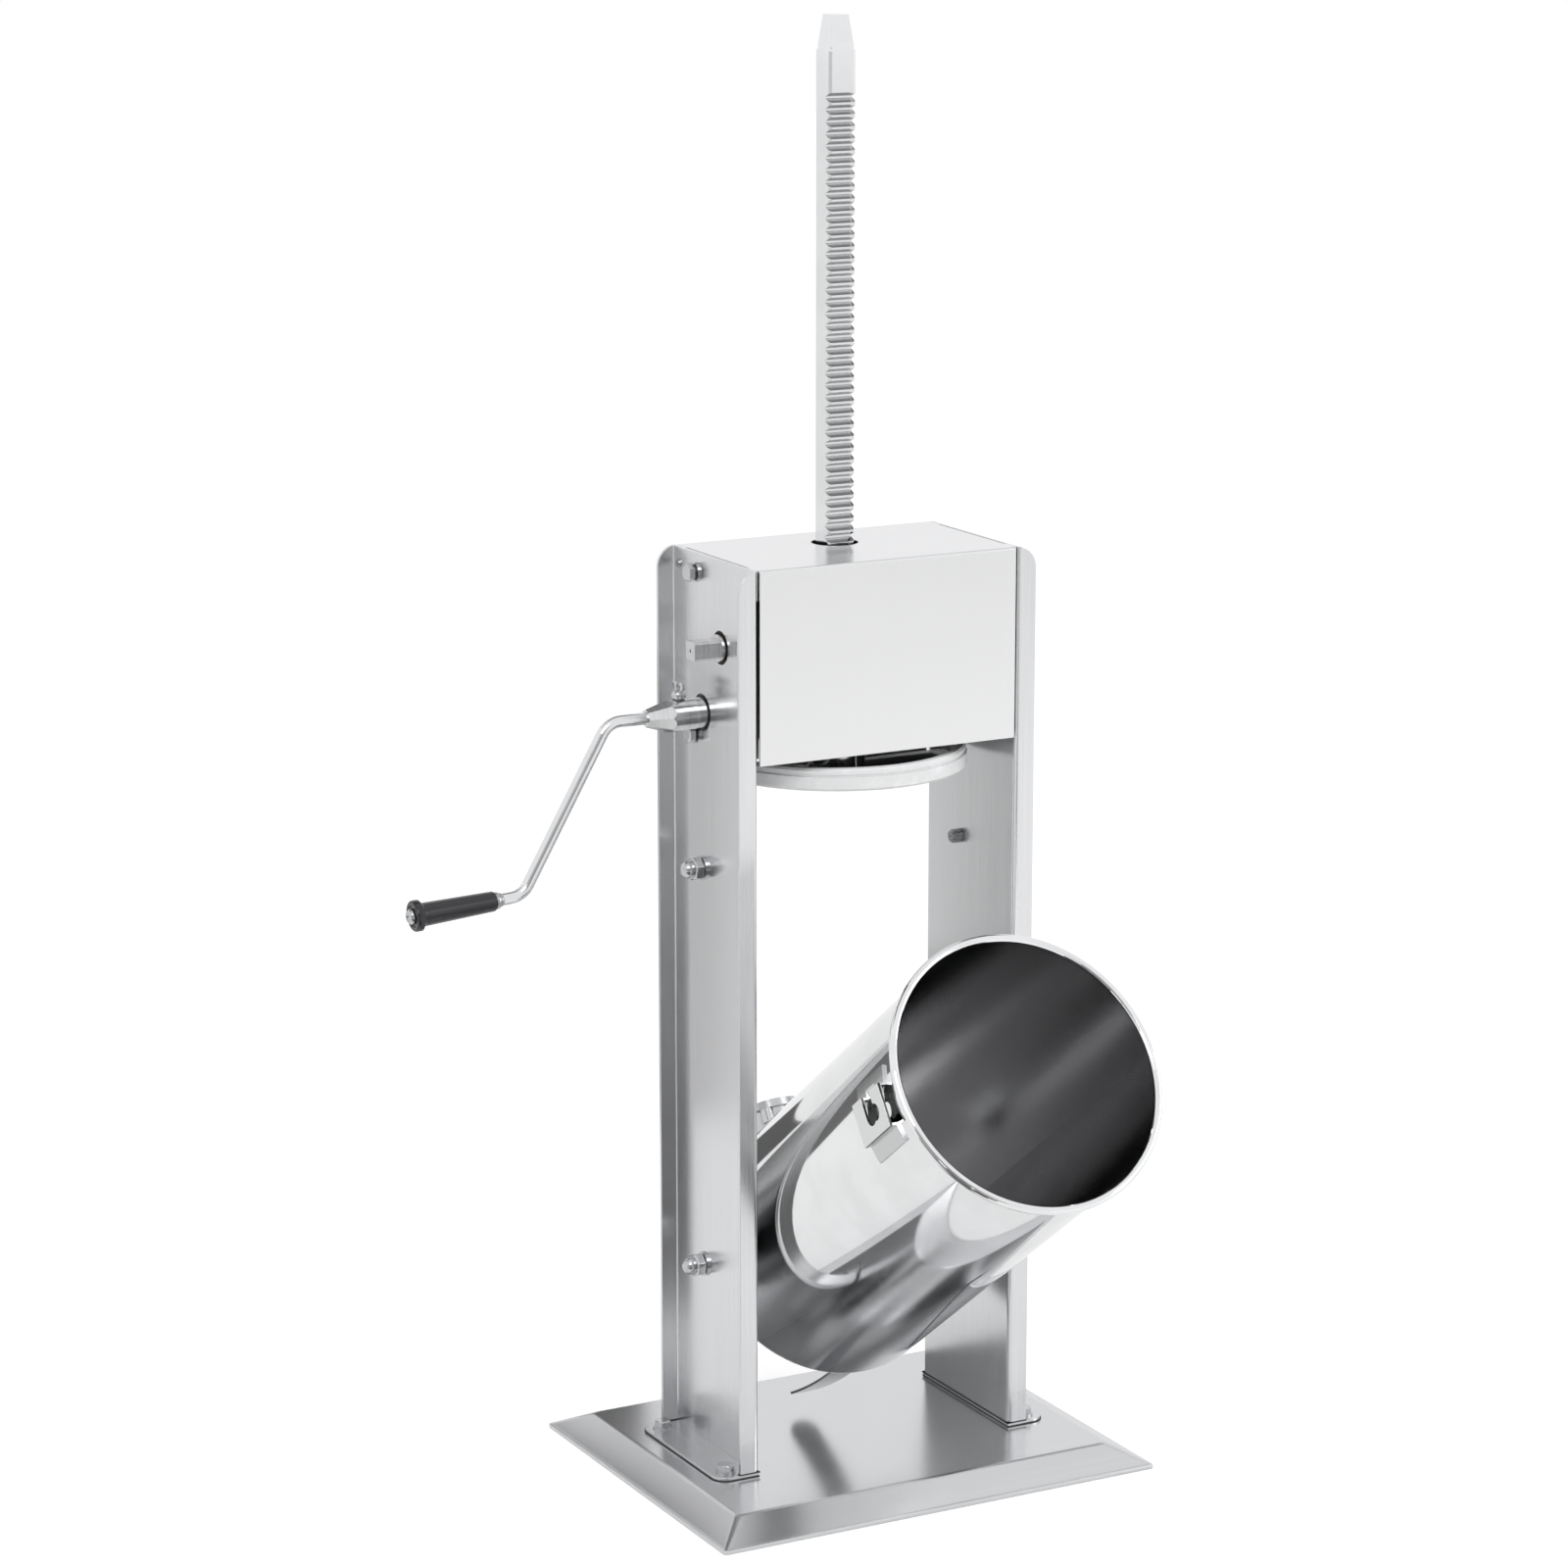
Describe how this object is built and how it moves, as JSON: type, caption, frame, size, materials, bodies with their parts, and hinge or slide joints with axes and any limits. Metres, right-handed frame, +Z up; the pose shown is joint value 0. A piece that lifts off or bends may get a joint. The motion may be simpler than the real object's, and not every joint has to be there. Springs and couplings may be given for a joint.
{
  "type": "vertical sausage stuffer",
  "caption": "Hand-cranked vertical sausage stuffer: a tipping steel barrel between two columns, pressed by a rack and piston.",
  "frame": {"origin": "on the floor under the centre of the base's underside", "axes": "+Z up; +X to the right seen from the front, away from the crank; -Y to the front, where the barrel tips"},
  "size_m": [0.5774, 0.5156, 1.178],
  "materials": {
    "brushed_stainless": "brushed",
    "polished_stainless": "polished",
    "cover_sheet": "smooth",
    "gear_steel": "machined",
    "fasteners": "bright",
    "bronze": "machined",
    "cast_frame": "painted",
    "grip_plastic": "gloss",
    "silicone": "smooth",
    "valve_plastic": "matte"
  },
  "bodies": {
    "frame": {"base_plate": "brushed_stainless", "foot_plate_left": "brushed_stainless", "foot_plate_right": "brushed_stainless", "column_left": "brushed_stainless", "column_right": "brushed_stainless", "foot_bolts": "fasteners", "foot_washers": "fasteners", "foot_nuts": "fasteners", "gearbox_cover": "cover_sheet", "cover_screws": "fasteners", "gear_frame": "cast_frame", "frame_bolts": "fasteners", "frame_washers": "fasteners", "spring_washers": "fasteners", "upper_bushes": "bronze", "lower_bushes": "bronze", "rack_guide": "cast_frame", "guide_bolts": "fasteners", "latch_studs": "fasteners", "pivot_studs": "fasteners", "cap_nuts": "fasteners", "stud_washers": "fasteners"},
    "upper_shaft": {"upper_shaft": "gear_steel", "large_gear": "gear_steel", "rack_pinion": "gear_steel", "upper_keys": "fasteners", "spacer_tubes": "gear_steel"},
    "crank": {"lower_shaft": "gear_steel", "small_pinion": "gear_steel", "lower_key": "fasteners", "retaining_ring": "fasteners", "crank_hub": "polished_stainless", "crank_rod": "polished_stainless", "grip_ferrule": "polished_stainless", "grip_screw": "fasteners"},
    "grip": {"crank_grip": "grip_plastic"},
    "wing_screw": {"wing_screw": "fasteners"},
    "press": {"rack_bar": "gear_steel", "piston_plate": "polished_stainless", "piston_gasket": "silicone", "piston_bolt": "fasteners"},
    "air_valve": {"air_valve": "valve_plastic"},
    "barrel": {"barrel_shell": "polished_stainless", "barrel_bottom": "polished_stainless", "latch_hooks": "polished_stainless", "pivot_hooks": "polished_stainless", "outlet_tube": "polished_stainless", "tipping_handle": "polished_stainless"},
    "ring_nut": {"ring_nut": "polished_stainless"}
  },
  "joints": [
    {"name": "rack_slide", "type": "slide", "parent": "frame", "child": "press", "axis": [0, 0, -1], "range_m": [0, 0.17]},
    {"name": "upper_shaft_turn", "type": "hinge", "parent": "frame", "child": "upper_shaft", "pos_m": [0, -0.0055, 0.69], "axis": [1, 0, 0], "range_deg": [-440, 0]},
    {"name": "crank_turn", "type": "hinge", "parent": "frame", "child": "crank", "pos_m": [0, 0.0265, 0.63228], "axis": [1, 0, 0], "range_deg": [0, 1160]},
    {"name": "grip_spin", "type": "hinge", "parent": "crank", "child": "grip", "pos_m": [-0.33191, 0.0265, 0.49778], "axis": [-0.9983, 0, -0.0576], "continuous": true},
    {"name": "wing_screw_turn", "type": "hinge", "parent": "crank", "child": "wing_screw", "pos_m": [-0.1407, 0.0265, 0.64428], "axis": [0, 0, 1], "range_deg": [0, 1080]},
    {"name": "air_valve_slide", "type": "slide", "parent": "press", "child": "air_valve", "axis": [0, 0, 1], "range_m": [0, 0.003]},
    {"name": "barrel_tilt", "type": "hinge", "parent": "frame", "child": "barrel", "pos_m": [0, 0.026, 0.172], "axis": [-1, 0, 0], "range_deg": [0, 53.75]},
    {"name": "ring_nut_turn", "type": "hinge", "parent": "barrel", "child": "ring_nut", "pos_m": [0, 0.13895, 0.25163], "axis": [0, 0.5913, 0.8064], "range_deg": [0, 1080]}
  ],
  "couplings": [
    {"joint": "upper_shaft_turn", "follows": "rack_slide", "rad_per_m": -44.444},
    {"joint": "crank_turn", "follows": "rack_slide", "rad_per_m": 118.52}
  ]
}
